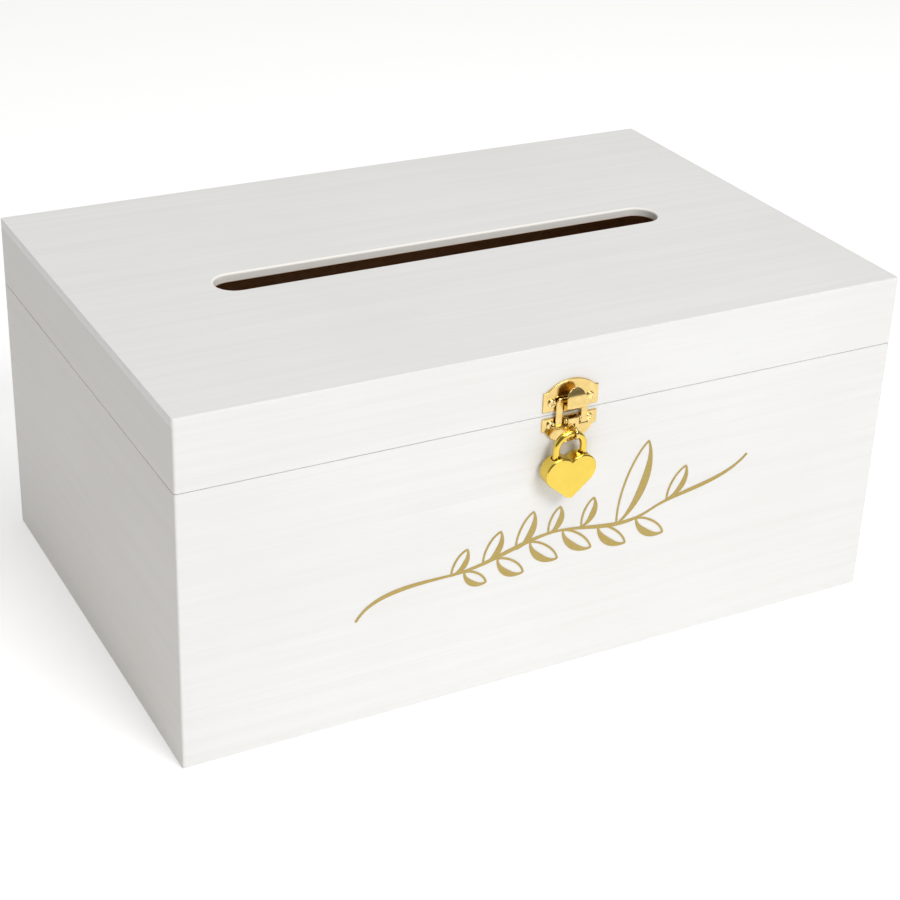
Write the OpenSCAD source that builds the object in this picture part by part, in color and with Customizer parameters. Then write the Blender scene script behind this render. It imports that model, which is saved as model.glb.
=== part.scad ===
// Wedding card box: a white wooden box with a hinged slotted lid, a small gold
// toggle latch on the front and a heart padlock through the latch's staple.
// Origin: centre of the underside. Front faces -Y, the lid opens about the back.

/* [Box] */
// Outer width of the box, along X
box_w = 340; // [300:1:400]
// Outer depth of the box, along Y
box_d = 220; // [200:1:260]
// Total height with the lid shut
box_h = 158; // [150:1:180]
// Thickness of the side walls
wall_t = 9; // [8:0.5:11]
// Thickness of the lid's top panel and of the bottom panel
panel_t = 4; // [3:0.5:5]
// Height of the lid, top panel included
lid_h = 31.8; // [30:0.1:36]
// Gap between the lid and the base
seam_gap = 0.3; // [0.2:0.1:0.8]

/* [Card slot] */
// Length of the slot, rounded ends included
slot_l = 222; // [180:1:250]
// Width of the slot
slot_w = 18; // [12:1:24]
// Sideways place of the slot, from the middle of the lid
slot_x = 1.5; // [-3:0.5:3]

/* [Latch] */
// Sideways place of the latch, from the middle of the front
latch_x = 2; // [-4:0.1:4]
// Width of both latch plates
latch_w = 26.2; // [26:0.1:30]
// Thickness of the latch plates
plate_t = 0.8; // [0.6:0.1:1]
// How far the latch lever swings open, in degrees
lever_open = 145; // [90:1:145]

/* [Hinges] */
// Distance of each hinge from the middle of the back
hinge_x = 100; // [80:1:120]
// Length of a hinge
hinge_l = 30; // [30:1:40]
// Height of one hinge leaf, from the pin
leaf_h = 14; // [13:0.5:16]

/* [Padlock] */
// Diameter of the shackle's wire
wire_d = 3; // [2.8:0.1:3]
// Thickness of the whole heart case
case_t = 6.4; // [6.4:0.1:7]

/* [Flourish] */
// Thickness of the gold flourish on the front
gilt_t = 0.2; // [0.1:0.05:0.4]
// Tilt of the flourish, in degrees
gilt_tilt = 10.6; // [5:0.1:15]

/* [Hidden] */
$fn = 48;
eps = 0.01;

// Levels of the box
seam_z = box_h - lid_h;
base_top = seam_z - seam_gap / 2;
lid_bottom = seam_z + seam_gap / 2;
lid_wall_top = box_h - panel_t;
front_y = -box_d / 2;
back_y = box_d / 2;

// Screws: shank, head and the pilot holes they sit in
shank_r = 1.05;
pilot_r = 1.1;
hole_r = 1.2;
screw_len = 7.6;
head_r = 1.85;
head_h = 0.8;
pilot_depth = 8.2;

// Bottom panel, let into a rabbet in the base walls
panel_inset = 4;
panel_gap = 0.1;

// Latch levels, all taken from the seam
screw_dx = 9.2;
upper_screw_z = seam_z + 5.7;
lower_screw_z = seam_z - 4.3;
shoulder = 1.5;
pin1 = [2.7, seam_z - 2.6];       // lever pivot: distance from the front, height
pin2 = [1.9, seam_z - 5.6];       // loop pivot on the lever
pin1_r = 0.6;
pin2_r = 0.45;
ear_in = 2.9;
ear_t = 0.8;
sheet_v = 3.4;                    // lever sheet: inner face
sheet_t = 0.5;
loop_v = 1.45;                    // loop strip: inner face
loop_t = 0.9;
loop_in = 4.5;
loop_out = 7.5;
nose_w = 8.6;
nose_lip = seam_z + 12.2;         // where the nose's lip starts to round over
nose_round_z = nose_lip + 0.45 - nose_w / 2;  // middle of the nose's round top
wire_r = wire_d / 2;
wire_v = sheet_v + sheet_t + 0.05 + wire_r;
wire_z = seam_z - 7.4;            // crown of the shackle, wire centre
staple_t = 1.2;

// Padlock
case_x = latch_x - 2;
bow_r = 6.5;                      // shackle bow, wire centre
// Height of the bow's wire where it passes through the staple, beside the bow's middle
eye_z = wire_z - bow_r + sqrt(pow(bow_r, 2) - pow(latch_x - case_x, 2));
plate_front_t = 1;
plate_rear_t = 0.8;
case_back = wire_v - case_t / 2;
case_front = wire_v + case_t / 2;
lobe_r = 7;
lobe_x = 5;
lobe_z = wire_z - 16.6;
tip_r = 2.5;
tip_z = wire_z - 26.6;
leg_fit = 0.08;
mouth_fit = 0.6;                  // wider mouth of both leg holes
mouth_z = lobe_z + 4.7;
long_end = wire_z - 17.8;
short_end = wire_z - 15.9;
bolt_z = wire_z - 13.6;           // underside of the bolt's nose
bolt_h = 1.2;
bolt_reach = bow_r - wire_r + 0.8;  // tip of the bolt's nose, from the padlock's middle
plug_z = wire_z - 18.8;
plug_r = 2.6;
cam = 1.5;                        // cam pin: sideways and upward from the plug's axis
cam_r = 0.5;
rivet_at = [[-9.6, 0.2 + lobe_z], [9.6, 0.2 + lobe_z], [0, tip_z + 1.4]];

// Middle of the flourish on the front
flourish_at = [1, 68.6];

// Hinges
hinge_axis_w = 2.3;               // behind the back face
knuckle_r = 2.2;
leaf_t = 1;
knuckles = 5;
knuckle_gap = 0.2;
knuckle_l = (hinge_l - (knuckles - 1) * knuckle_gap) / knuckles;
hinge_pin_r = 0.9;
hinge_screw_dx = 9;
hinge_screw_dz = 8.5;

white = [0.95, 0.95, 0.94];
gold = [0.93, 0.76, 0.36];
pale_gold = [0.9, 0.78, 0.5];
steel = [0.75, 0.75, 0.77];

// ---- helpers ----

// 2D (x, z) shape raised t outward from the front, starting v from the front face
module on_front(v, t) {
    translate([0, front_y - v, 0]) rotate([90, 0, 0]) linear_extrude(t) children();
}

// 2D (distance from the front, z) side profile, swept from x0 to x1
module front_profile(x0, x1) {
    translate([x1, front_y, 0]) rotate([0, 0, -90]) rotate([90, 0, 0])
        linear_extrude(x1 - x0) children();
}

// 2D (distance behind the back, z) side profile, swept from x0 to x1
module back_profile(x0, x1) {
    translate([x0, back_y, 0]) rotate([90, 0, 90]) linear_extrude(x1 - x0) children();
}

// The same thing on both sides of the middle
module both_sides() {
    children();
    mirror([1, 0, 0]) children();
}

function arc(c, r, from, to, n = 8) =
    [for (i = [0:n]) c + r * [cos(from + (to - from) * i / n), sin(from + (to - from) * i / n)]];

// Pan-head wood screw along +Z, underside of the head at z = 0, slot across the head
module wood_screw() {
    difference() {
        union() {
            intersection() {
                translate([0, 0, head_h - 2.6]) sphere(2.6);
                cylinder(h = head_h, r = head_r);
            }
            translate([0, 0, 2.2 - screw_len]) cylinder(h = screw_len - 2.2 + eps, r = shank_r);
            translate([0, 0, -screw_len]) cylinder(h = 2.2, r1 = 0.2, r2 = shank_r);
        }
        translate([-head_r, -0.25, head_h - 0.4]) cube([2 * head_r, 0.5, 1]);
        translate([-0.25, -head_r, head_h - 0.4]) cube([0.5, 2 * head_r, 1]);
    }
}

// Pilot hole into the front or the back wall
module front_pilot(x, z) {
    translate([x, front_y - 1, z]) rotate([-90, 0, 0]) cylinder(h = pilot_depth + 1, r = pilot_r);
}
module back_pilot(x, z) {
    translate([x, back_y + 1, z]) rotate([90, 0, 0]) cylinder(h = pilot_depth + 1, r = pilot_r);
}

// ---- wooden box ----

// Long wall at the front, mitred at both ends
module long_wall(z0, z1) {
    translate([0, 0, z0]) linear_extrude(z1 - z0)
        polygon([[-box_w / 2, front_y], [box_w / 2, front_y],
                 [box_w / 2 - wall_t, front_y + wall_t], [-box_w / 2 + wall_t, front_y + wall_t]]);
}

// Short wall on the left, mitred at both ends
module short_wall(z0, z1) {
    translate([0, 0, z0]) linear_extrude(z1 - z0)
        polygon([[-box_w / 2, front_y], [-box_w / 2 + wall_t, front_y + wall_t],
                 [-box_w / 2 + wall_t, back_y - wall_t], [-box_w / 2, back_y]]);
}

// Place of the bottom panel: drawn in by gap all round, and taken down by below
module panel_blank(gap, below) {
    translate([-box_w / 2 + panel_inset + gap, front_y + panel_inset + gap, -below])
        cube([box_w - 2 * (panel_inset + gap), box_d - 2 * (panel_inset + gap), panel_t + below]);
}

module bottom_panel() {
    color(white) panel_blank(panel_gap, 0);
}

module base_front_wall() {
    color(white) difference() {
        long_wall(0, base_top);
        panel_blank(0, 1);
        for (side = [-1, 1]) front_pilot(latch_x + side * screw_dx, lower_screw_z);
    }
}

module base_back_wall() {
    color(white) difference() {
        mirror([0, 1, 0]) long_wall(0, base_top);
        panel_blank(0, 1);
        for (h = [-1, 1], s = [-1, 1])
            back_pilot(h * hinge_x + s * hinge_screw_dx, seam_z - hinge_screw_dz);
    }
}

module base_left_wall() {
    color(white) difference() {
        short_wall(0, base_top);
        panel_blank(0, 1);
    }
}

module base_right_wall() {
    mirror([1, 0, 0]) base_left_wall();
}

module lid_top_panel() {
    color(white) translate([0, 0, lid_wall_top]) linear_extrude(panel_t) difference() {
        square([box_w, box_d], center = true);
        translate([slot_x, 0]) {
            square([slot_l - slot_w, slot_w], center = true);
            for (side = [-1, 1]) translate([side * (slot_l - slot_w) / 2, 0]) circle(slot_w / 2);
        }
    }
}

module lid_front_wall() {
    color(white) difference() {
        long_wall(lid_bottom, lid_wall_top);
        for (side = [-1, 1]) front_pilot(latch_x + side * screw_dx, upper_screw_z);
    }
}

module lid_back_wall() {
    color(white) difference() {
        mirror([0, 1, 0]) long_wall(lid_bottom, lid_wall_top);
        for (h = [-1, 1], s = [-1, 1])
            back_pilot(h * hinge_x + s * hinge_screw_dx, seam_z + hinge_screw_dz);
    }
}

module lid_left_wall() {
    color(white) short_wall(lid_bottom, lid_wall_top);
}

module lid_right_wall() {
    mirror([1, 0, 0]) lid_left_wall();
}

// ---- latch ----

// Plate outline: straight sides, small shoulders and a round crown up or down
module crowned_plate(flat_z, side_z, crown_z) {
    up = sign(crown_z - side_z);
    chord = latch_w / 2 - shoulder;
    rise = abs(crown_z - side_z);
    crown_r = (chord * chord + rise * rise) / (2 * rise);
    translate([-latch_w / 2, min(flat_z, side_z)]) square([latch_w, abs(side_z - flat_z)]);
    intersection() {
        translate([0, crown_z - up * crown_r]) circle(crown_r, $fn = 96);
        translate([-chord, min(side_z - up, crown_z)]) square([2 * chord, rise + 1]);
    }
}

module screw_holes_2d(z) {
    for (side = [-1, 1]) translate([side * screw_dx, z]) circle(hole_r);
}

// Side profile of the hook: a round-bellied nose with a pocket behind its lip
module nose_profile() {
    polygon(concat(
        [[plate_t - 0.2, seam_z + 1.8]],
        arc([1.6, seam_z + 5.7], 4, -75, 0, 12),
        arc([5.15, nose_lip], 0.45, 0, 180, 8),
        arc([3.7, seam_z + 6.1], 1, 0, -90, 6),
        [[plate_t - 0.2, seam_z + 5.1]]));
}

// Front outline of the nose: straight sides under a round top
module nose_outline() {
    translate([0, nose_round_z]) circle(nose_w / 2);
    translate([-nose_w / 2, seam_z]) square([nose_w, nose_round_z - seam_z]);
}

module latch_hook_plate() {
    color(gold) translate([latch_x, 0, 0]) {
        on_front(0, plate_t) difference() {
            crowned_plate(seam_z + 1.8, seam_z + 10.6, seam_z + 15.2);
            screw_holes_2d(upper_screw_z);
        }
        intersection() {
            front_profile(-nose_w / 2, nose_w / 2) nose_profile();
            on_front(-1, 8) nose_outline();
        }
    }
}

module ear_profile() {
    difference() {
        union() {
            translate(pin1) circle(1.4);
            translate([plate_t - 0.2, pin1[1] - 1.2]) square([pin1[0] - plate_t + 0.2, 2.4]);
        }
        translate(pin1) circle(pin1_r + 0.02);
    }
}

// Staple: the tab with an eye that takes the padlock
module staple_profile() {
    eye_r = wire_r + 0.5;
    difference() {
        union() {
            translate([wire_v, eye_z]) circle(eye_r + 0.75);
            translate([plate_t - 0.2, eye_z - 2]) square([wire_v - plate_t + 0.2, 4]);
        }
        translate([wire_v, eye_z]) circle(eye_r);
    }
}

module latch_base_plate() {
    color(gold) translate([latch_x, 0, 0]) {
        on_front(0, plate_t) difference() {
            crowned_plate(seam_z - 1.2, seam_z - 7.2, seam_z - 13.8);
            screw_holes_2d(lower_screw_z);
        }
        both_sides() front_profile(ear_in, ear_in + ear_t) ear_profile();
        front_profile(-staple_t / 2, staple_t / 2) staple_profile();
    }
}

// Lever: a forked front sheet with a cheek on each side carrying both pivots
module latch_lever() {
    fork_z = wire_z + 1.1;
    cheek_in = 2;
    cheek_t = 0.6;
    color(gold) translate([latch_x, 0, 0]) {
        on_front(sheet_v, sheet_t) difference() {
            union() {
                translate([-cheek_in - cheek_t, fork_z])
                    square([2 * (cheek_in + cheek_t), pin1[1] + 1 - fork_z]);
                translate([-4, fork_z]) square([8, 1.7]);
            }
            translate([-0.9, fork_z - 1]) square([1.8, pin1[1] - 1.4 - fork_z + 1]);
        }
        both_sides() front_profile(cheek_in, cheek_in + cheek_t) difference() {
            union() {
                translate(pin1) circle(1.25);
                translate(pin2) circle(0.75);
                polygon([[pin1[0] - 1.2, pin1[1]], [sheet_v + sheet_t - 0.1, pin1[1] + 0.9],
                         [sheet_v + sheet_t - 0.1, fork_z + 0.2], [pin2[0], pin2[1] - 0.7],
                         [pin2[0] - 0.7, pin2[1]]]);
            }
            translate(pin1) circle(pin1_r + 0.06);
            translate(pin2) circle(pin2_r + 0.02);
        }
    }
}

module latch_lever_pin() {
    color(pale_gold) translate([latch_x, 0, 0]) {
        front_profile(-3.8, 3.8) translate(pin1) circle(pin1_r);
        both_sides() front_profile(3.75, 4.1) translate(pin1) circle(1);
    }
}

// Loop: a stamped frame whose top bar sits behind the hook's nose
module latch_loop() {
    bar_lo = seam_z + 5.4;
    bar_hi = seam_z + 7.8;
    corner = 2;
    color(pale_gold) translate([latch_x, 0, 0]) difference() {
        union() {
            on_front(loop_v, loop_t) {
                both_sides() translate([loop_in, pin2[1]])
                    square([loop_out - loop_in, bar_hi - corner - pin2[1]]);
                translate([corner - loop_out, bar_lo]) square([2 * (loop_out - corner), bar_hi - bar_lo]);
                both_sides() translate([loop_out - corner, bar_hi - corner]) intersection() {
                    circle(corner);
                    square(corner);
                }
            }
            both_sides() front_profile(loop_in, loop_out) translate(pin2) circle(0.85);
        }
        both_sides() front_profile(loop_in - 1, loop_out + 1) translate(pin2) circle(pin2_r + 0.06);
    }
}

module latch_loop_rivets() {
    color(pale_gold) translate([latch_x, 0, 0]) both_sides() {
        front_profile(1.9, loop_out + 0.15) translate(pin2) circle(pin2_r);
        front_profile(loop_out + 0.1, loop_out + 0.4) translate(pin2) circle(0.75);
        front_profile(1.6, 1.97) translate(pin2) circle(0.75);
    }
}

module front_screws(z) {
    for (side = [-1, 1]) translate([latch_x + side * screw_dx, front_y - plate_t, z])
        rotate([90, 25 * side, 0]) wood_screw();
}

module latch_upper_screws() {
    color(pale_gold) front_screws(upper_screw_z);
}

module latch_lower_screws() {
    color(pale_gold) front_screws(lower_screw_z);
}

// ---- hinges ----

function knuckle_x(i) = -hinge_l / 2 + i * (knuckle_l + knuckle_gap);

// One leaf; up = 1 for the lid's, -1 for the box's; first = its first knuckle
module hinge_leaf(up, first) {
    difference() {
        union() {
            back_profile(-hinge_l / 2, hinge_l / 2)
                translate([0, up > 0 ? seam_z + knuckle_r + 0.3 : seam_z - leaf_h])
                    square([leaf_t, leaf_h - knuckle_r - 0.3]);
            for (i = [first:2:knuckles - 1]) back_profile(knuckle_x(i), knuckle_x(i) + knuckle_l) {
                translate([hinge_axis_w, seam_z]) circle(knuckle_r);
                translate([0, up > 0 ? seam_z : seam_z - knuckle_r - 0.5])
                    square([leaf_t, knuckle_r + 0.5]);
            }
        }
        translate([-hinge_l, back_y + hinge_axis_w, seam_z]) rotate([0, 90, 0])
            cylinder(h = 2 * hinge_l, r = hinge_pin_r + 0.05);
        for (s = [-1, 1]) translate([s * hinge_screw_dx, back_y - 1, seam_z + up * hinge_screw_dz])
            rotate([-90, 0, 0]) cylinder(h = 4, r = hole_r);
    }
}

module hinge_pin() {
    back_profile(-hinge_l / 2 - 0.1, hinge_l / 2 + 0.1) translate([hinge_axis_w, seam_z]) circle(hinge_pin_r);
    for (x = [-hinge_l / 2 - 0.6, hinge_l / 2 + 0.1])
        back_profile(x, x + 0.5) translate([hinge_axis_w, seam_z]) circle(hinge_pin_r + 0.5);
}

module hinge_left_box_leaf() {
    color(gold) translate([-hinge_x, 0, 0]) hinge_leaf(-1, 0);
}

module hinge_left_lid_leaf() {
    color(gold) translate([-hinge_x, 0, 0]) hinge_leaf(1, 1);
}

module hinge_left_pin() {
    color(pale_gold) translate([-hinge_x, 0, 0]) hinge_pin();
}

module hinge_right_box_leaf() {
    color(gold) translate([hinge_x, 0, 0]) hinge_leaf(-1, 0);
}

module hinge_right_lid_leaf() {
    color(gold) translate([hinge_x, 0, 0]) hinge_leaf(1, 1);
}

module hinge_right_pin() {
    color(pale_gold) translate([hinge_x, 0, 0]) hinge_pin();
}

module back_screws(z) {
    for (h = [-1, 1], s = [-1, 1])
        translate([h * hinge_x + s * hinge_screw_dx, back_y + leaf_t, z])
            rotate([-90, 15 * s, 0]) wood_screw();
}

module hinge_box_screws() {
    color(pale_gold) back_screws(seam_z - hinge_screw_dz);
}

module hinge_lid_screws() {
    color(pale_gold) back_screws(seam_z + hinge_screw_dz);
}

// ---- padlock ----

// Where the straight flank of the heart touches its lobe and its tip
flank = [-lobe_x, tip_z - lobe_z];
flank_turn = atan2(flank[1], flank[0]) + acos((lobe_r - tip_r) / norm(flank));
flank_out = [cos(flank_turn), sin(flank_turn)];
// Where the two lobes meet, as an angle on the right lobe
notch_turn = 180 - acos(lobe_x / lobe_r);

module heart() {
    lobe = [lobe_x, lobe_z];
    tip = [0, tip_z];
    on_lobe = lobe + lobe_r * flank_out;
    on_tip = tip + tip_r * flank_out;
    lobe_arc = concat(
        arc(lobe, lobe_r, flank_turn, notch_turn, 30),
        arc([-lobe_x, lobe_z], lobe_r, 180 - notch_turn, 180 - flank_turn, 30));
    tip_arc = arc(tip, tip_r, 180 - flank_turn, 360 + flank_turn, 12);
    polygon(concat(lobe_arc, tip_arc));
}

// Bow of the shackle with its long left leg and its notched right leg
module padlock_shackle() {
    bow_z = wire_z - bow_r;
    notch_in = bow_r - wire_r - 0.1;
    notch_deep = bow_r - wire_r + 0.85;
    color(gold) translate([case_x, front_y - wire_v, 0]) difference() {
        union() {
            translate([0, 0, bow_z]) rotate([90, 0, 0]) rotate_extrude(angle = 180)
                translate([bow_r, 0]) circle(wire_r);
            translate([-bow_r, 0, long_end]) cylinder(h = bow_z - long_end, r = wire_r);
            translate([bow_r, 0, short_end]) cylinder(h = bow_z - short_end, r = wire_r);
        }
        translate([0, 5, 0]) rotate([90, 0, 0]) linear_extrude(10)
            polygon([[notch_in, bolt_z + bolt_h + 0.1], [notch_deep, bolt_z + bolt_h + 0.1],
                     [notch_deep, bolt_z - 0.1], [notch_in, bolt_z - 2]]);
    }
}

module rivet_holes() {
    for (p = rivet_at) translate([p[0], front_y - case_back + 1, p[1]]) rotate([90, 0, 0])
        cylinder(h = 4.5, r = 0.82);
}

module padlock_case() {
    body_v = case_back + plate_rear_t;
    body_t = case_t - plate_rear_t - plate_front_t;
    pocket_v = body_v + 2;
    color(gold) translate([case_x, 0, 0]) difference() {
        on_front(body_v, body_t) heart();
        translate([-bow_r, front_y - wire_v, long_end - 3.3]) cylinder(h = 20, r = wire_r + leg_fit);
        translate([bow_r, front_y - wire_v, short_end - 0.3]) cylinder(h = 20, r = wire_r + leg_fit);
        for (side = [-1, 1]) translate([side * bow_r, front_y - wire_v, mouth_z])
            cylinder(h = 20, r = wire_r + mouth_fit);
        on_front(body_v - 1, 3.5) translate([0, plug_z]) circle(plug_r + 0.05);
        on_front(pocket_v, body_t) {
            translate([-2.9, plug_z + 0.3]) square([5.8, bolt_z + bolt_h + 0.1 - plug_z - 0.3]);
            translate([0, bolt_z - 0.1]) square([bolt_reach + 0.15, bolt_h + 0.2]);
        }
        rivet_holes();
    }
}

module padlock_front_plate() {
    color(gold) translate([case_x, 0, 0]) on_front(case_front - plate_front_t, plate_front_t) heart();
}

module padlock_rear_plate() {
    color(gold) translate([case_x, 0, 0]) difference() {
        on_front(case_back, plate_rear_t) heart();
        on_front(case_back - 1, 3) translate([0, plug_z]) circle(plug_r + 0.05);
        rivet_holes();
    }
}

module padlock_rear_rivets() {
    color(pale_gold) translate([case_x, 0, 0]) for (p = rivet_at) {
        on_front(case_back - 0.3, 0.3) translate(p) circle(1.3);
        on_front(case_back - 0.1, 3.2) translate(p) circle(0.8);
    }
}

// Plug that the key turns, with the cam pin that shifts the bolt
module padlock_plug() {
    color(pale_gold) translate([case_x, 0, 0]) {
        difference() {
            on_front(case_back - 0.1, plate_rear_t + 2.05) translate([0, plug_z]) circle(plug_r);
            on_front(case_back - 1, 2.5) translate([-0.4, plug_z - 1.7]) square([0.8, 3.4]);
        }
        on_front(case_back + plate_rear_t + 1.9, 2.45) translate([cam, plug_z + cam]) circle(cam_r);
    }
}

module padlock_bolt() {
    color(steel) translate([case_x, 0, 0])
        on_front(case_back + plate_rear_t + 2.1, 2.35) difference() {
            union() {
                translate([cam - 1.25, plug_z + 0.45]) square([2.5, bolt_z + bolt_h - plug_z - 0.45]);
                translate([cam, bolt_z]) square([bolt_reach - cam, bolt_h]);
            }
            translate([cam - cam_r - 0.1, plug_z + 0.85]) square([2 * cam_r + 0.2, 2]);
        }
}

// Coil spring under the long leg, it lifts the shackle when the bolt lets go
module padlock_spring() {
    turns = 5;
    steps = 16;
    sides = 6;
    coil_r = 1.05;
    coil_wire = 0.22;
    low = long_end - 3.0;
    rise = 2.7;
    last = turns * steps;
    rings = [for (i = [0:last], k = [0:sides - 1])
        let (turn = 360 * i / steps, r = coil_r + coil_wire * cos(360 * k / sides))
            [r * cos(turn), r * sin(turn), rise * i / last + coil_wire * sin(360 * k / sides)]];
    wrap = [for (i = [0:last - 1], k = [0:sides - 1])
        let (a = i * sides + k, b = i * sides + (k + 1) % sides) [a, b, b + sides, a + sides]];
    ends = [[for (k = [sides - 1:-1:0]) k], [for (k = [0:sides - 1]) last * sides + k]];
    color(steel) translate([case_x - bow_r, front_y - wire_v, low])
        polyhedron(points = rings, faces = concat(wrap, ends), convexity = 4);
}

// ---- flourish ----

function bezier(p, t) =
    pow(1 - t, 3) * p[0] + 3 * t * pow(1 - t, 2) * p[1] + 3 * t * t * (1 - t) * p[2] + pow(t, 3) * p[3];
function bezier_way(p, t) =
    let (d = pow(1 - t, 2) * (p[1] - p[0]) + 2 * t * (1 - t) * (p[2] - p[1]) + t * t * (p[3] - p[2]))
        d / norm(d);

// Pen stroke along a curve, thin at its ends and thick in its middle
module pen(p, thin, thick, n = 20) {
    half = [for (i = [0:n]) (thin + (thick - thin) * pow(sin(180 * i / n), 2)) / 2];
    side = [for (i = [0:n]) let (d = bezier_way(p, i / n)) [-d[1], d[0]] * half[i]];
    polygon(concat([for (i = [0:n]) bezier(p, i / n) + side[i]],
                   [for (i = [n:-1:0]) bezier(p, i / n) - side[i]]));
}

// An open leaf from its stalk, pointing along the given angle, one side heavier than the other
module leaf(at, angle, long, wide, heavy) {
    translate(at) rotate(angle) {
        pen([[0, 0], [0.2 * long, -0.8 * wide], [0.8 * long, -0.8 * wide], [long, 0]], 0.9, heavy);
        pen([[0, 0], [0.3 * long, 0.55 * wide], [0.8 * long, 0.5 * wide], [long, 0]], 0.9, 1);
    }
}

// Stem of the flourish, as curves that run on from one another
stem = [
    [[-97, -1.4], [-88, 9], [-68, 4.5], [-52, 1.5]],
    [[-52, 1.5], [-34, -2], [-14, 5], [2, 0.5]],
    [[2, 0.5], [18, -4], [30, -12], [46, -8]],
    [[46, -8], [60, -4.5], [84, -10], [97, -0.4]]
];
// Leaves: stalk, angle, length, width, heaviest stroke
leaves = [
    [[-52, 1.3], 46, 13, 5, 2.6], [[-37, 0.2], 50, 16, 6, 3], [[-21, 0.8], 54, 18, 6, 3.2],
    [[-5, 1.6], 56, 13, 5, 3], [[11, -1.8], 57, 14, 5, 3], [[28, -8], 60, 40, 10, 4],
    [[54, -6.2], 48, 17, 6, 2.8],
    [[-46, 0.4], -46, 13, 5, 2.6], [[-30, 0], -48, 16, 6, 3], [[-14, 1.4], -50, 18, 6, 3.2],
    [[2, 0.4], -50, 19, 6, 3.2], [[19, -4.8], -50, 19, 6, 3.4], [[38, -9.4], -46, 18, 6, 3.2]
];

module front_flourish_2d() {
    for (curve = stem) pen(curve, 1.1, 1.9);
    for (k = [1:3]) translate(stem[k][0]) circle(0.5);
    for (l = leaves) leaf(l[0], l[1], l[2], l[3], l[4]);
}

module front_flourish() {
    color(gold) on_front(0, gilt_t) translate(flourish_at) rotate(gilt_tilt) front_flourish_2d();
}

bottom_panel();
base_front_wall();
base_back_wall();
base_left_wall();
base_right_wall();
lid_top_panel();
lid_front_wall();
lid_back_wall();
lid_left_wall();
lid_right_wall();
front_flourish();
latch_hook_plate();
latch_base_plate();
latch_lever();
latch_lever_pin();
latch_loop();
latch_loop_rivets();
latch_upper_screws();
latch_lower_screws();
hinge_left_box_leaf();
hinge_left_lid_leaf();
hinge_left_pin();
hinge_right_box_leaf();
hinge_right_lid_leaf();
hinge_right_pin();
hinge_box_screws();
hinge_lid_screws();
padlock_shackle();
padlock_case();
padlock_front_plate();
padlock_rear_plate();
padlock_rear_rivets();
padlock_plug();
padlock_bolt();
padlock_spring();
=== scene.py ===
import math

import bmesh
import bpy
from mathutils import Matrix, Vector


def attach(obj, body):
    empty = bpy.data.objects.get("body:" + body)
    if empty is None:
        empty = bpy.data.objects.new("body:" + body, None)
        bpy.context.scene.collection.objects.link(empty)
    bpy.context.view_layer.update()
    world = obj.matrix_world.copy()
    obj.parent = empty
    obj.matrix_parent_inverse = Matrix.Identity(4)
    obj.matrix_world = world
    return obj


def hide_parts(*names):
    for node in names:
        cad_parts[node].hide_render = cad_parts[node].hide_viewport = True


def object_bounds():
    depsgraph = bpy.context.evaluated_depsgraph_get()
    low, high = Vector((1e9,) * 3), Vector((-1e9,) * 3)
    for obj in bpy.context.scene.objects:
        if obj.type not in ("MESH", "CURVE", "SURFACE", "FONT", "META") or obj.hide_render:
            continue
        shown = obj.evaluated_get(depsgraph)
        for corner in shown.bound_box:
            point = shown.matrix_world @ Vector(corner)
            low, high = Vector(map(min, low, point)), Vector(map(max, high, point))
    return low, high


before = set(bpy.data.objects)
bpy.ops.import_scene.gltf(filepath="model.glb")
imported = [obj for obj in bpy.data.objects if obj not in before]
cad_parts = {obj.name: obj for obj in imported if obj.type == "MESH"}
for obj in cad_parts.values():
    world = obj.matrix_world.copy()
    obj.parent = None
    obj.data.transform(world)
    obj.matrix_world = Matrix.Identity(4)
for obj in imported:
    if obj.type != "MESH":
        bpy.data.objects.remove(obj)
cad_low, cad_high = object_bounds()

MM = 0.001


# ---- sizes of the wooden box, in millimetres ----

HALF_W = cad_high.x / MM
HALF_D = 110.0
WALL = 9.0
CORNER_R = 1.2
LEDGE = 4.0
BASE_TOP, LID_LOW = 126.05, 126.35
TOP_LOW, TOP_HIGH = 154, 158
SLOT_X, SLOT_HALF, SLOT_R, SLOT_RIM = 1.5, 111, 9, 1.0
BARE_BELOW = 154.3
BARE_ABOVE = 3.5
BARE_INSET = WALL - 0.2


# ---- plane outlines, in millimetres ----

def arc(centre, radius, start, stop, steps):
    """Points on an arc, angles in degrees."""
    points = []
    for i in range(steps + 1):
        a = math.radians(start + (stop - start) * i / steps)
        points.append((centre[0] + radius * math.cos(a), centre[1] + radius * math.sin(a)))
    return points


def circle(centre, radius, points=24):
    """A full circle as a closed outline."""
    return arc(centre, radius, 0, 360 - 360 / points, points - 1)


def signed_area(loop):
    """The area of a closed outline, positive where it runs counter-clockwise."""
    total = 0.0
    for i, (x0, y0) in enumerate(loop):
        x1, y1 = loop[(i + 1) % len(loop)]
        total += x0 * y1 - x1 * y0
    return total / 2


def fillet(points, steps=5):
    """A closed outline from (x, y, radius) corners, each corner rounded to its radius."""
    out = []
    for i, (x, y, r) in enumerate(points):
        if r <= 0:
            out.append((x, y))
            continue
        corner = Vector((x, y))
        before = (Vector(points[i - 1][:2]) - corner).normalized()
        after = (Vector(points[(i + 1) % len(points)][:2]) - corner).normalized()
        half = before.angle(after) / 2
        reach = r / math.tan(half)
        centre = corner + (before + after).normalized() * (r / math.sin(half))
        a = corner + before * reach - centre
        b = corner + after * reach - centre
        turn = math.atan2(a.x * b.y - a.y * b.x, a.dot(b))
        start = math.atan2(a.y, a.x)
        for k in range(steps + 1):
            t = start + turn * k / steps
            out.append((centre.x + r * math.cos(t), centre.y + r * math.sin(t)))
    return out


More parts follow.
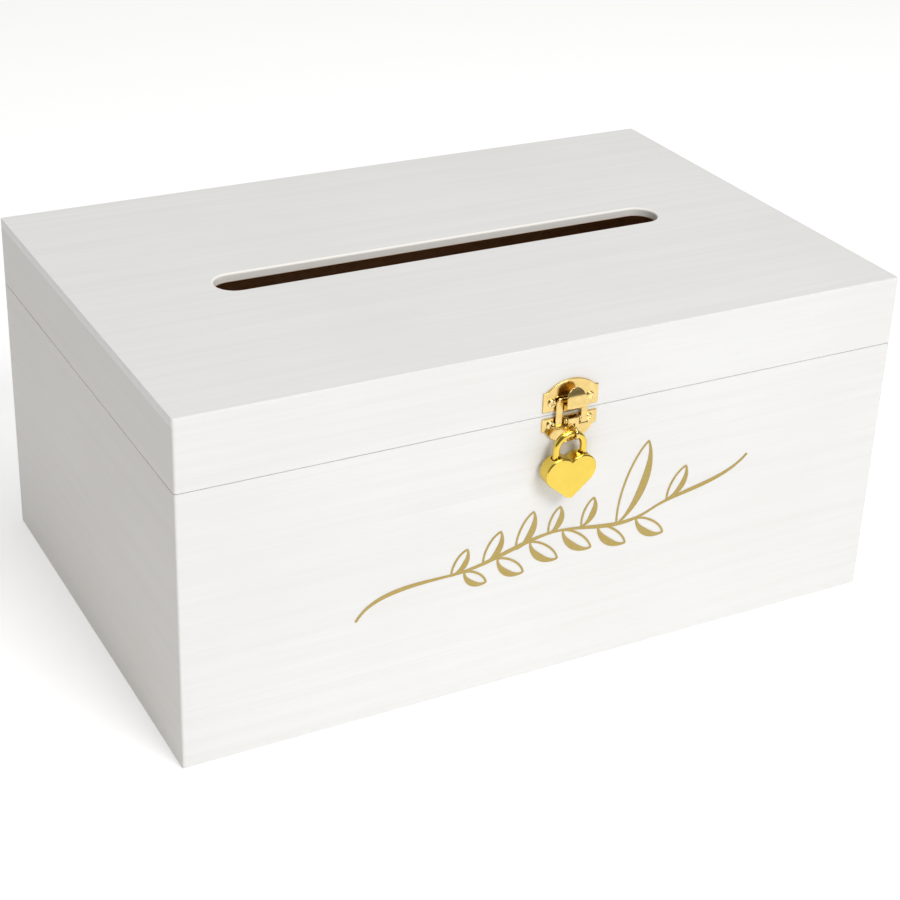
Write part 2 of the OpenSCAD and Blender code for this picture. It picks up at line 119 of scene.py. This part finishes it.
def inset(loop, amount):
    """A counter-clockwise outline drawn in by amount, or out where amount is negative."""
    n = len(loop)
    out = []
    for i in range(n):
        p = Vector(loop[i])
        before = (p - Vector(loop[i - 1])).normalized()
        after = (Vector(loop[(i + 1) % n]) - p).normalized()
        normal_a = Vector((-before.y, before.x))
        normal_b = Vector((-after.y, after.x))
        mid = (normal_a + normal_b).normalized()
        stretch = min(1 / max(mid.dot(normal_b), 0.3), 2)
        out.append(tuple(p + mid * amount * stretch))
    return out


# ---- mesh making ----

def finish_mesh(name, bm, sharp=32):
    """An object from a bmesh in millimetres, smooth except at sharp edges."""
    bmesh.ops.remove_doubles(bm, verts=bm.verts, dist=1e-4)
    bmesh.ops.dissolve_degenerate(bm, edges=bm.edges, dist=1e-4)
    bmesh.ops.recalc_face_normals(bm, faces=bm.faces)
    bmesh.ops.scale(bm, vec=(MM, MM, MM), verts=bm.verts)
    mesh = bpy.data.meshes.new(name)
    bm.to_mesh(mesh)
    bm.free()
    mesh.shade_smooth()
    mesh.set_sharp_from_angle(angle=math.radians(sharp))
    obj = bpy.data.objects.new(name, mesh)
    bpy.context.scene.collection.objects.link(obj)
    even = obj.modifiers.new("even_normals", "WEIGHTED_NORMAL")
    even.keep_sharp = True
    return obj


def add_loops(bm, loops, capped=True):
    """Skins a stack of equal closed loops of 3D points, closed at both ends where capped."""
    rows = [[bm.verts.new(p) for p in loop] for loop in loops]
    n = len(rows[0])
    for low, high in zip(rows, rows[1:]):
        for i in range(n):
            j = (i + 1) % n
            bm.faces.new((low[i], low[j], high[j], high[i]))
    if capped:
        bm.faces.new(rows[0][::-1])
        bm.faces.new(rows[-1])
    return rows


def rim_steps(h0, h1, r0, r1, steps=3):
    """(height, inset) pairs up a wall whose two rims are rounded to r0 and r1."""
    turns = [math.pi / 2 * k / steps for k in range(steps + 1)]
    low = [(h0 + r0 * (1 - math.cos(a)), r0 * (1 - math.sin(a))) for a in turns]
    high = [(h1 - r1 * (1 - math.sin(a)), r1 * (1 - math.cos(a))) for a in turns]
    return (low if r0 > 0 else [(h0, 0)]) + (high if r1 > 0 else [(h1, 0)])


def add_slab(bm, place, outline, h0, h1, r0=0.0, r1=0.0, holes=(), steps=3):
    """A flat part with rounded rims. place turns (u, w, height) into a 3D point.
    holes is a list of (outline, r0, r1)."""
    first, last = [], []
    parts = [(outline, r0, r1, 1)] + [(h, a, b, -1) for h, a, b in holes]
    for loop, low_r, high_r, way in parts:
        loop = loop if signed_area(loop) > 0 else loop[::-1]
        rows = []
        for height, drawn in rim_steps(h0, h1, low_r, high_r, steps):
            flat = inset(loop, way * drawn) if drawn else loop
            rows.append([place(u, w, height) for u, w in flat])
        made = add_loops(bm, rows, capped=False)
        n = len(loop)
        first += [bm.edges.get((made[0][i], made[0][(i + 1) % n])) for i in range(n)]
        last += [bm.edges.get((made[-1][i], made[-1][(i + 1) % n])) for i in range(n)]
    for edges in (first, last):
        bmesh.ops.triangle_fill(bm, use_beauty=True, use_dissolve=False, edges=edges)


def flat_up(u, w, height):
    """Outline drawn on the ground, heights upward."""
    return Vector((u, w, height))


def settle(obj, body, nodes, material):
    """Gives a new piece its body, the CAD nodes it stands for and its material."""
    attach(obj, body)
    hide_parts(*nodes)
    obj.data.materials.clear()
    obj.data.materials.append(material)


# ---- materials ----

class Shader:
    """A material's node tree, with short calls for the nodes used here."""

    def __init__(self, name):
        self.material = bpy.data.materials.new(name)
        self.material.use_nodes = True
        self.tree = self.material.node_tree
        self.tree.nodes.clear()
        out = self.tree.nodes.new("ShaderNodeOutputMaterial")
        self.bsdf = self.tree.nodes.new("ShaderNodeBsdfPrincipled")
        self.join(self.bsdf.outputs[0], out.inputs["Surface"])
        self.place = self.tree.nodes.new("ShaderNodeTexCoord").outputs["Object"]

    def join(self, source, socket):
        self.tree.links.new(source, socket)

    def node(self, kind, **settings):
        made = self.tree.nodes.new(kind)
        for key, value in settings.items():
            setattr(made, key, value)
        return made

    def stretched(self, scale, turn=(0, 0, 0)):
        mapping = self.node("ShaderNodeMapping")
        mapping.inputs["Scale"].default_value = scale
        mapping.inputs["Rotation"].default_value = [math.radians(a) for a in turn]
        self.join(self.place, mapping.inputs["Vector"])
        return mapping.outputs[0]

    def noise(self, vector, detail=4.0, roughness=0.5, distortion=0.0):
        noise = self.node("ShaderNodeTexNoise")
        noise.inputs["Scale"].default_value = 1.0
        noise.inputs["Detail"].default_value = detail
        noise.inputs["Roughness"].default_value = roughness
        noise.inputs["Distortion"].default_value = distortion
        self.join(vector, noise.inputs["Vector"])
        return noise.outputs["Fac"]

    def ramp(self, value, *stops):
        ramp = self.node("ShaderNodeValToRGB")
        points = ramp.color_ramp.elements
        for i, (at, colour) in enumerate(stops):
            point = points[i] if i < 2 else points.new(at)
            point.position = at
            point.color = (*colour, 1)
        self.join(value, ramp.inputs["Fac"])
        return ramp.outputs["Color"]

    def mix(self, amount, a, b):
        """Colour a where amount is 0, colour b where it is 1."""
        mix = self.node("ShaderNodeMix", data_type="RGBA")
        for value, socket in ((amount, 0), (a, 6), (b, 7)):
            if isinstance(value, (int, float)):
                mix.inputs[socket].default_value = value
            elif isinstance(value, tuple):
                mix.inputs[socket].default_value = (*value, 1)
            else:
                self.join(value, mix.inputs[socket])
        return mix.outputs[2]

    def math(self, operation, a, b=None):
        node = self.node("ShaderNodeMath", operation=operation)
        for i, value in enumerate((a, b)):
            if value is None:
                continue
            if isinstance(value, (int, float)):
                node.inputs[i].default_value = value
            else:
                self.join(value, node.inputs[i])
        return node.outputs[0]

    def all_of(self, *tests):
        """1 where every test is 1, else 0."""
        result = tests[0]
        for test in tests[1:]:
            result = self.math("MULTIPLY", result, test)
        return result

    def range(self, value, low, high, to_low, to_high):
        node = self.node("ShaderNodeMapRange")
        for i, v in enumerate((low, high, to_low, to_high)):
            node.inputs[i + 1].default_value = v
        self.join(value, node.inputs[0])
        return node.outputs[0]

    def bump(self, height, strength, distance):
        bump = self.node("ShaderNodeBump")
        bump.inputs["Strength"].default_value = strength
        bump.inputs["Distance"].default_value = distance
        self.join(height, bump.inputs["Height"])
        self.join(bump.outputs[0], self.bsdf.inputs["Normal"])

    def set(self, **values):
        for key, value in values.items():
            socket = self.bsdf.inputs[key.replace("_", " ")]
            if isinstance(value, (int, float)):
                socket.default_value = value
            elif isinstance(value, tuple):
                socket.default_value = (*value, 1)
            else:
                self.join(value, socket)


def painted_wood(name, along, paint, shade, grain):
    """Thin paint over fine grain along one axis; bare wood inside, cream at the slot's walls."""
    s = Shader(name)
    across, run = 900, 14
    grain_scale = {"X": (run, across, across), "Y": (across, run, across)}[along]
    vein_scale = {"X": (6, 210, 210), "Y": (210, 6, 210)}[along]
    fine = s.noise(s.stretched(grain_scale), detail=6, roughness=0.62)
    veins = s.noise(s.stretched(vein_scale), detail=5, roughness=0.6, distortion=0.5)
    wash = s.noise(s.stretched((11, 11, 11)), detail=2)
    white = s.mix(s.range(veins, 0.40, 0.72, 0.0, 0.6), paint, shade)
    white = s.mix(s.range(fine, 0.35, 0.75, 0.0, grain), white, (0.70, 0.685, 0.65))
    white = s.mix(s.range(wash, 0.40, 0.70, 0.0, 0.45), white, shade)

    bare = s.ramp(s.noise(s.stretched(tuple(v * 0.35 for v in grain_scale)), detail=5, roughness=0.6),
                  (0.25, (0.76, 0.53, 0.35)), (0.75, (0.86, 0.655, 0.48)))
    axes = s.node("ShaderNodeSeparateXYZ")
    s.join(s.place, axes.inputs[0])
    x, y, z = axes.outputs
    inside = s.all_of(s.math("LESS_THAN", s.math("ABSOLUTE", x), (HALF_W - BARE_INSET) * MM),
                      s.math("LESS_THAN", s.math("ABSOLUTE", y), (HALF_D - BARE_INSET) * MM),
                      s.math("LESS_THAN", z, BARE_BELOW * MM),
                      s.math("GREATER_THAN", z, BARE_ABOVE * MM))

    from_middle = s.math("ABSOLUTE", s.math("SUBTRACT", x, SLOT_X * MM))
    past_end = s.math("MAXIMUM", s.math("SUBTRACT", from_middle, (SLOT_HALF - SLOT_R) * MM), 0.0)
    squares = s.math("ADD", s.math("MULTIPLY", past_end, past_end), s.math("MULTIPLY", y, y))
    slot = s.all_of(s.math("LESS_THAN", s.math("SQRT", squares), (SLOT_R + SLOT_RIM) * MM),
                    s.math("GREATER_THAN", z, BARE_BELOW * MM))
    colour = s.mix(inside, s.mix(slot, white, (0.95, 0.925, 0.875)), bare)
    s.set(Base_Color=colour, Roughness=s.range(fine, 0.3, 0.7, 0.46, 0.60), Specular_IOR_Level=0.3)
    height = s.math("ADD", s.math("MULTIPLY", fine, 0.7), s.math("MULTIPLY", veins, 0.5))
    s.bump(height, grain, 0.00022)
    return s.material


def polished(name, colour, deep, roughness):
    """Plated metal: clear reflections, faint smears and hairline scratches."""
    s = Shader(name)
    smear = s.noise(s.stretched((240, 240, 240)), detail=4, roughness=0.6)
    hair = s.noise(s.stretched((900, 5200, 5200), (0, 31, 17)), detail=2)
    tint = s.mix(s.range(smear, 0.3, 0.75, 0.0, 1.0), colour, deep)
    s.set(Base_Color=tint, Metallic=1.0,
          Roughness=s.range(smear, 0.3, 0.8, roughness, roughness + 0.05))
    s.bump(s.math("ADD", s.math("MULTIPLY", hair, 0.35), smear), 0.10, 0.00004)
    return s.material


def gold_leaf(name):
    """Metallic gold film: even tan gold with a soft sheen and a slight mottle."""
    s = Shader(name)
    mottle = s.noise(s.stretched((700, 700, 700)), detail=5, roughness=0.65)
    broad = s.noise(s.stretched((60, 60, 60)), detail=2)
    tint = s.ramp(mottle, (0.3, (0.400, 0.288, 0.077)), (0.7, (0.494, 0.371, 0.117)))
    tint = s.mix(s.range(broad, 0.35, 0.65, 0.0, 0.25), tint, (0.524, 0.404, 0.148))
    s.set(Base_Color=tint, Metallic=0.55, Roughness=s.range(mottle, 0.3, 0.7, 0.42, 0.55))
    s.bump(mottle, 0.12, 0.00003)
    return s.material


def stage_paint(name, colour, glow):
    """Matt paint for the floor, faintly mottled, with a glow of its own."""
    s = Shader(name)
    speck = s.noise(s.stretched((40, 40, 40)), detail=3)
    s.set(Base_Color=s.mix(s.range(speck, 0.3, 0.7, 0.0, 0.03), colour, (0.8, 0.8, 0.8)),
          Roughness=0.9, Specular_IOR_Level=0.1, Emission_Color=(1, 1, 1), Emission_Strength=glow)
    return s.material


WOOD_X = painted_wood("white_wood_along_x", "X", (0.855, 0.853, 0.843), (0.795, 0.786, 0.766), 0.16)
# The side walls' copy, grain along Y: its paint is darker and warmer than the front's, painted shade for the
# sides turned away from the lamps.
WOOD_Y_PAINTED_SHADE = painted_wood("white_wood_along_y_painted_shade", "Y", (0.770, 0.752, 0.720), (0.720, 0.700, 0.662), 0.07)
LATCH_GOLD = polished("latch_gold", (0.82, 0.62, 0.26), (0.70, 0.50, 0.18), 0.15)
PIN_GOLD = polished("pin_gold", (0.84, 0.67, 0.34), (0.74, 0.55, 0.24), 0.16)
HEART_GOLD = polished("heart_gold", (0.80, 0.590, 0.108), (0.77, 0.555, 0.096), 0.16)
STEEL = polished("steel", (0.56, 0.56, 0.58), (0.48, 0.48, 0.50), 0.24)
GILT = gold_leaf("gilt")


# ---- the wooden panels ----

def add_wall(bm, half, profile, turn, reach):
    """A mitred wall: profile is a closed outline of (depth, height); reach is how far its
    outer face stands from the middle, half is half its length, turn is its heading."""
    rows = []
    angles = [45, 34, 22.5, 11, 0]
    for side in (-1, 1):
        for a in (angles if side < 0 else angles[::-1]):
            row = []
            for d, z in profile:
                if d < CORNER_R:
                    s = half - CORNER_R + (CORNER_R - d) * math.sin(math.radians(a))
                    depth = CORNER_R - (CORNER_R - d) * math.cos(math.radians(a))
                else:
                    s, depth = half - d, d
                row.append(turn @ Vector((side * s, depth - reach, z)))
            rows.append(row)
    add_loops(bm, rows)


def wall_profile(low, high, r_low, r_high, ledge=0.0):
    """A wall's cross-section; ledge is the height of the rabbet that holds the bottom panel."""
    corners = [(0, high, r_high), (0, low, r_low)]
    if ledge:
        corners += [(LEDGE, low, 0), (LEDGE, low + ledge, 0), (WALL, low + ledge, 0)]
    else:
        corners += [(WALL, low, 0.3)]
    corners += [(WALL, high, 0.3 if r_high else 0)]
    return fillet(corners, 3)


def wooden_walls(prefix, body, profile):
    """The four walls of the base or the lid, a quarter turn apart."""
    sides = (("front", HALF_W, HALF_D), ("right", HALF_D, HALF_W),
             ("back", HALF_W, HALF_D), ("left", HALF_D, HALF_W))
    for k, (side, half, reach) in enumerate(sides):
        bm = bmesh.new()
        add_wall(bm, half, profile, Matrix.Rotation(math.radians(90 * k), 3, "Z"), reach)
        node = f"{prefix}_{side}_wall"
        wall = finish_mesh(f"{node}_board", bm)
        # Front and back take the plain paint; the side walls take the darker copy, painted shade.
        settle(wall, body, [node], WOOD_X if k % 2 == 0 else WOOD_Y_PAINTED_SHADE)


def rounded_rectangle(half_x, half_y, r):
    return fillet([(half_x, half_y, r), (-half_x, half_y, r), (-half_x, -half_y, r), (half_x, -half_y, r)], 4)


def stadium(half_x, r):
    """A straight slot with round ends."""
    return arc((half_x - r, 0), r, -90, 90, 14) + arc((r - half_x, 0), r, 90, 270, 14)


def lid_top():
    bm = bmesh.new()
    slot = [(u + SLOT_X, w) for u, w in stadium(SLOT_HALF, SLOT_R)]
    board = rounded_rectangle(HALF_W, HALF_D, CORNER_R)
    add_slab(bm, flat_up, board, TOP_LOW, TOP_HIGH, 0, 0.5, [(slot, 0.2, SLOT_RIM)])
    settle(finish_mesh("lid_top_board", bm), "lid", ["lid_top_panel"], WOOD_X)


wooden_walls("base", "box", wall_profile(0, BASE_TOP, 0.6, 0.1, LEDGE))
wooden_walls("lid", "lid", wall_profile(LID_LOW, TOP_LOW, 0.1, 0))
lid_top()


# ---- latch ----

SEAM = 126.2
LATCH_X = 2.0
PLATE_HALF, PLATE_T = 13.1, 0.8
SHOULDER = 1.5
SCREW_DX = 9.2
UPPER_SCREW_Z, LOWER_SCREW_Z = SEAM + 5.7, SEAM - 4.3
NOSE_HALF, NOSE_LOW, NOSE_TOP = 4.3, SEAM + 5.4, SEAM + 12.65
LOOP_OUTER, LOOP_INNER = 7.5, 4.5
LEVER_PIN = (2.7, 123.6)
LOOP_PIN = (1.9, 120.6)
EYE = (5.45, 118.485)


def on_front(x):
    """Outline drawn on the front of the box about x, heights outward."""
    return lambda u, w, height: Vector((x + u, -HALF_D - height, w))


def sideways(x):
    """Side outline of (distance from the front, height), swept along X from x."""
    return lambda v, w, height: Vector((x + height, -HALF_D - v, w))


def crowned_plate(flat_z, side_z, crown_z):
    """A plate's outline: flat at the seam, with straight sides, small shoulders and a bowed crown."""
    up = 1 if crown_z > side_z else -1
    chord = PLATE_HALF - SHOULDER
    rise = abs(crown_z - side_z)
    r = (chord ** 2 + rise ** 2) / (2 * rise)
    reach = math.degrees(math.asin(chord / r))
    crown = arc((0, crown_z - up * r), r, up * (90 - reach), up * (90 + reach), 20)
    corners = [(-PLATE_HALF, side_z, 0.35), (-PLATE_HALF, flat_z, 0.5),
               (PLATE_HALF, flat_z, 0.5), (PLATE_HALF, side_z, 0.35)]
    return fillet(corners + [(x, z, 0) for x, z in crown], 3)


def screw_holes(z):
    return [(circle((side * SCREW_DX, z), 1.2), 0, 0.1) for side in (-1, 1)]


def tab_outline(centre, r, half):
    """An upright tab that stands out from the plate and ends in a round eye."""
    reach = 180 - math.degrees(math.asin(half / r))
    return arc(centre, r, -reach, reach, 24) + [(0.7, centre[1] + half), (0.7, centre[1] - half)]


def add_nose(bm):
    """The hook: a round belly that turns up into a lip with an arched, bent-back top."""
    rows = []
    for k in range(25):
        z = NOSE_LOW + (NOSE_TOP - 0.02 - NOSE_LOW) * math.sin(math.pi / 2 * k / 24)
        bend = 0.05 * max(z - SEAM - 6.8, 0) ** 2
        over = max(z - (NOSE_TOP - NOSE_HALF), 0)
        width = math.sqrt(NOSE_HALF ** 2 - over ** 2)
        front, back = 5.6 - bend, 4.7 - 0.6 * bend
        r = min(0.3, (front - back) * 0.45, width * 0.45)
        loop = fillet([(-width, front, r), (-width, back, r), (width, back, r), (width, front, r)], 3)
        rows.append([Vector((LATCH_X + x, -HALF_D - v, z)) for x, v in loop])
    add_loops(bm, rows)
    belly = [(0.7, SEAM + 1.8)] + arc((1.6, SEAM + 5.7), 4, -75, 0, 14)
    belly += arc((3.7, SEAM + 6.1), 1, 0, -90, 6) + [(0.7, SEAM + 5.1)]
    add_slab(bm, sideways(LATCH_X), belly, -NOSE_HALF, NOSE_HALF, 0.3, 0.3)


def hook_plate():
    bm = bmesh.new()
    outline = crowned_plate(SEAM + 1.8, SEAM + 10.6, SEAM + 15.2)
    add_slab(bm, on_front(LATCH_X), outline, 0, PLATE_T, 0, 0.25, screw_holes(UPPER_SCREW_Z))
    add_nose(bm)
    hook = finish_mesh("hook_plate_pressing", bm, 40)
    settle(hook, "lid", ["latch_hook_plate"], LATCH_GOLD)


def base_plate():
    bm = bmesh.new()
    outline = crowned_plate(SEAM - 1.2, SEAM - 7.2, SEAM - 13.8)
    add_slab(bm, on_front(LATCH_X), outline, 0, PLATE_T, 0, 0.25, screw_holes(LOWER_SCREW_Z))
    ear = tab_outline(LEVER_PIN, 1.4, 1.2)
    for x in (-3.7, 2.9):
        pin_hole = (circle(LEVER_PIN, 0.62, 18), 0, 0)
        add_slab(bm, sideways(LATCH_X), ear, x, x + PLATE_T, 0.15, 0.15, [pin_hole])
    eye = (circle(EYE, 2.0, 36), 0.25, 0.25)
    add_slab(bm, sideways(LATCH_X), tab_outline(EYE, 2.75, 2.0), -0.6, 0.6, 0.25, 0.25, [eye])
    plate = finish_mesh("base_plate_pressing", bm, 40)
    settle(plate, "box", ["latch_base_plate"], LATCH_GOLD)


def loop_frame():
    """A flat frame round the hook, with a round foot on each leg for its pivot."""
    bm = bmesh.new()
    low, bar, high = LOOP_PIN[1], SEAM + 5.4, SEAM + 7.8
    outline = fillet([(LOOP_OUTER, high, 2), (-LOOP_OUTER, high, 2), (-LOOP_OUTER, low, 0),
                      (-LOOP_INNER, low, 0), (-LOOP_INNER, bar, 0.4), (LOOP_INNER, bar, 0.4),
                      (LOOP_INNER, low, 0), (LOOP_OUTER, low, 0)], 6)
    add_slab(bm, on_front(LATCH_X), outline, 1.45, 2.35, 0.2, 0.3)
    for x in (-LOOP_OUTER, LOOP_INNER):
        bore = (circle(LOOP_PIN, 0.51, 18), 0, 0)
        reach = x + LOOP_OUTER - LOOP_INNER
        add_slab(bm, sideways(LATCH_X), circle(LOOP_PIN, 0.85), x, reach, 0.2, 0.2, [bore])
    loop = finish_mesh("loop_frame", bm, 40)
    settle(loop, "loop", ["latch_loop"], LATCH_GOLD)


def add_screw(bm, x, z, turn):
    """A wood screw in a latch plate: pan head with a rounded rim and a cross recess, shank and point."""
    place = on_front(LATCH_X)
    disc = circle((x, z), 1.85, 48)
    add_slab(bm, place, disc, PLATE_T, 1.15, 0.08, 0)
    arm, half = 1.15, 0.25
    cross = [(half, half), (half, arm), (-half, arm)]
    for _ in range(3):
        cross += [(-v, u) for u, v in cross[-3:]]
    spin = Matrix.Rotation(math.radians(turn), 2)
    recess = [tuple(spin @ Vector(p) + Vector((x, z))) for p in cross]
    add_slab(bm, place, disc, 1.15, 1.6, 0, 0.42, [(recess, 0, 0.06)], 5)
    rows = []
    for height, r in ((-6.8, 0.2), (-4.6, 1.05), (0.85, 1.05)):
        rows.append([place(u, w, height) for u, w in circle((x, z), r)])
    add_loops(bm, rows)


def latch_screws():
    for row, body, z in (("upper", "lid", UPPER_SCREW_Z), ("lower", "box", LOWER_SCREW_Z)):
        bm = bmesh.new()
        for side in (-1, 1):
            add_screw(bm, side * SCREW_DX, z, 25 * side)
        screws = finish_mesh(f"{row}_screw_pair", bm, 40)
        settle(screws, body, [f"latch_{row}_screws"], PIN_GOLD)


latch_screws()
hook_plate()
base_plate()
loop_frame()


# ---- padlock ----

LOBE_X, LOBE_R = 5.0, 7.0
LOBE_Z = 102.2
TIP_R, TIP_Z = 2.5, 92.2
PLUG_Z = 100.0
CASE_BACK = 2.25
WIRE_R, BOW_R, BOW_Z = 1.5, 6.5, 112.3
NOTCH_LOW, NOTCH_HIGH, NOTCH_X = 105.1, 106.5, 5.85


def heart():
    """Two round lobes, straight flanks and a small round tip."""
    flank = Vector((-LOBE_X, TIP_Z - LOBE_Z))
    turn = math.degrees(math.atan2(flank.y, flank.x) + math.acos((LOBE_R - TIP_R) / flank.length))
    notch = 180 - math.degrees(math.acos(LOBE_X / LOBE_R))
    right = arc((LOBE_X, LOBE_Z), LOBE_R, turn, notch, 36)
    left = arc((-LOBE_X, LOBE_Z), LOBE_R, 180 - notch, 180 - turn, 36)
    tip = arc((0, TIP_Z), TIP_R, 180 - turn, 360 + turn, 12)
    return right + left[1:] + tip[1:-1]


def heart_plates():
    """The front plate with its broad rounded rim, and the rear plate with its plug and rivet holes."""
    bm = bmesh.new()
    add_slab(bm, on_front(0), heart(), CASE_BACK + 5.4, CASE_BACK + 6.4, 0.12, 0.85, steps=6)
    front = finish_mesh("padlock_front_pressing", bm, 40)
    settle(front, "padlock", ["padlock_front_plate"], HEART_GOLD)
    bm = bmesh.new()
    holes = [(circle((0, PLUG_Z), 2.65, 36), 0.1, 0)]
    for rivet in ((-9.6, LOBE_Z + 0.2), (9.6, LOBE_Z + 0.2), (0, TIP_Z + 1.4)):
        holes.append((circle(rivet, 0.82, 18), 0, 0))
    add_slab(bm, on_front(0), heart(), CASE_BACK, CASE_BACK + 0.8, 0.5, 0.1, holes, 4)
    rear = finish_mesh("padlock_rear_pressing", bm, 40)
    settle(rear, "padlock", ["padlock_rear_plate"], HEART_GOLD)


def shackle():
    """One bent wire: long left leg, bow, and the short right leg with the bolt's notch."""
    left = [(101.0, 1.25), (101.07, 1.42), (101.25, WIRE_R), (BOW_Z - 0.5, WIRE_R)]
    right = [(BOW_Z - 0.5, WIRE_R), (106.6, WIRE_R), (NOTCH_HIGH, WIRE_R), (NOTCH_LOW, WIRE_R),
             (103.2, WIRE_R), (103.15, WIRE_R), (102.97, 1.42), (102.9, 1.25)]
    bend = enumerate(arc((0, BOW_Z), BOW_R, 180, 0, 40))
    stations = [((-BOW_R, z), 180, r) for z, r in left]
    stations += [((x, z), 180 - 4.5 * k, WIRE_R) for k, (x, z) in bend]
    stations += [((BOW_R, z), 0, r) for z, r in right]
    bm = bmesh.new()
    rows = []
    for (x, z), heading, r in stations:
        across, along = math.cos(math.radians(heading)), math.sin(math.radians(heading))
        row = []
        for u, v in circle((0, 0), r, 36):
            px = x + u * across
            if NOTCH_LOW <= z <= NOTCH_HIGH:
                px = max(px, NOTCH_X)
            row.append(Vector((px, -HALF_D - EYE[0] - v, z + u * along)))
        rows.append(row)
    add_loops(bm, rows)
    bent = finish_mesh("shackle_wire", bm, 40)
    settle(bent, "shackle", ["padlock_shackle"], HEART_GOLD)


heart_plates()
shackle()


# ---- finish on the CAD nodes that stay ----

def soften(node, width):
    """Rounds a CAD node's edges to width in millimetres with modifiers; its mesh stays as it is."""
    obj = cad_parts[node]
    weld = obj.modifiers.new("weld", "WELD")
    weld.merge_threshold = 1e-6
    bevel = obj.modifiers.new("rounded_edges", "BEVEL")
    bevel.width = width * MM
    bevel.segments = 2
    bevel.limit_method = "ANGLE"
    bevel.angle_limit = math.radians(34)
    even = obj.modifiers.new("even_normals", "WEIGHTED_NORMAL")
    even.keep_sharp = True


def coat(material, *nodes):
    """Gives CAD nodes their material."""
    for node in nodes:
        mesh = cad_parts[node].data
        mesh.materials.clear()
        mesh.materials.append(material)


HINGE_LEAVES = [f"hinge_{side}_{half}_leaf" for side in ("left", "right") for half in ("box", "lid")]

coat(WOOD_X, "bottom_panel")
coat(GILT, "front_flourish")
coat(LATCH_GOLD, "latch_lever", *HINGE_LEAVES)
coat(PIN_GOLD, "latch_lever_pin", "latch_loop_rivets",
     "hinge_left_pin", "hinge_right_pin", "hinge_box_screws", "hinge_lid_screws",
     "padlock_plug", "padlock_rear_rivets")
coat(HEART_GOLD, "padlock_case")
coat(STEEL, "padlock_bolt", "padlock_spring")
for node in ("latch_lever", "padlock_case"):
    soften(node, 0.12)
for node in ("hinge_box_screws", "hinge_lid_screws"):
    soften(node, 0.06)
for node in HINGE_LEAVES:
    soften(node, 0.15)


# ---- studio ----

def studio():
    """A pale round floor just under the box, and soft light from all round."""
    bm = bmesh.new()
    bmesh.ops.create_circle(bm, cap_ends=True, segments=96, radius=6.0)
    mesh = bpy.data.meshes.new("floor")
    bm.to_mesh(mesh)
    bm.free()
    floor = bpy.data.objects.new("floor", mesh)
    bpy.context.scene.collection.objects.link(floor)
    floor.location.z = -0.0002
    floor.data.materials.append(stage_paint("pale_floor", (0.93, 0.93, 0.93), 0.30))

    world = bpy.data.worlds.new("soft_room")
    bpy.context.scene.world = world
    world.use_nodes = True
    tree = world.node_tree
    back = tree.nodes["Background"]
    back.inputs["Color"].default_value = (1.0, 0.985, 0.96, 1)
    back.inputs["Strength"].default_value = 0.18


def area_light(name, at, target, size, size_y, watts):
    data = bpy.data.lights.new(name, "AREA")
    data.shape = "RECTANGLE"
    data.size = size
    data.size_y = size_y
    data.energy = watts
    light = bpy.data.objects.new(name, data)
    bpy.context.scene.collection.objects.link(light)
    light.location = at
    heading = Vector(target) - Vector(at)
    light.rotation_euler = heading.to_track_quat("-Z", "Y").to_euler()


studio()
area_light("overhead", (0.1, -0.3, 3.0), (0, 0, 0), 2.8, 2.8, 54)
area_light("front_key", (0.5, -2.4, 2.1), (0, 0, 0.08), 1.3, 1.1, 43)


# ---- camera ----

CAMERA_AT = Vector((-0.38502, -0.71301, 0.48533))
CAMERA_RIGHT = Vector((0.8809, -0.4717, 0.0378))
CAMERA_BACK = Vector((-0.4374, -0.7811, 0.4457))


def camera():
    back = CAMERA_BACK.normalized()
    right = (CAMERA_RIGHT - back * CAMERA_RIGHT.dot(back)).normalized()
    up = back.cross(right)
    data = bpy.data.cameras.new("camera")
    data.sensor_width = 36
    data.lens = 77.765
    data.shift_x = -0.01667
    data.shift_y = -0.05556
    data.clip_start = 0.01
    cam = bpy.data.objects.new("camera", data)
    bpy.context.scene.collection.objects.link(cam)
    turn = Matrix((right, up, back)).transposed().to_4x4()
    cam.matrix_world = Matrix.Translation(CAMERA_AT) @ turn
    bpy.context.scene.camera = cam


camera()
bpy.context.scene.view_settings.view_transform = "Standard"
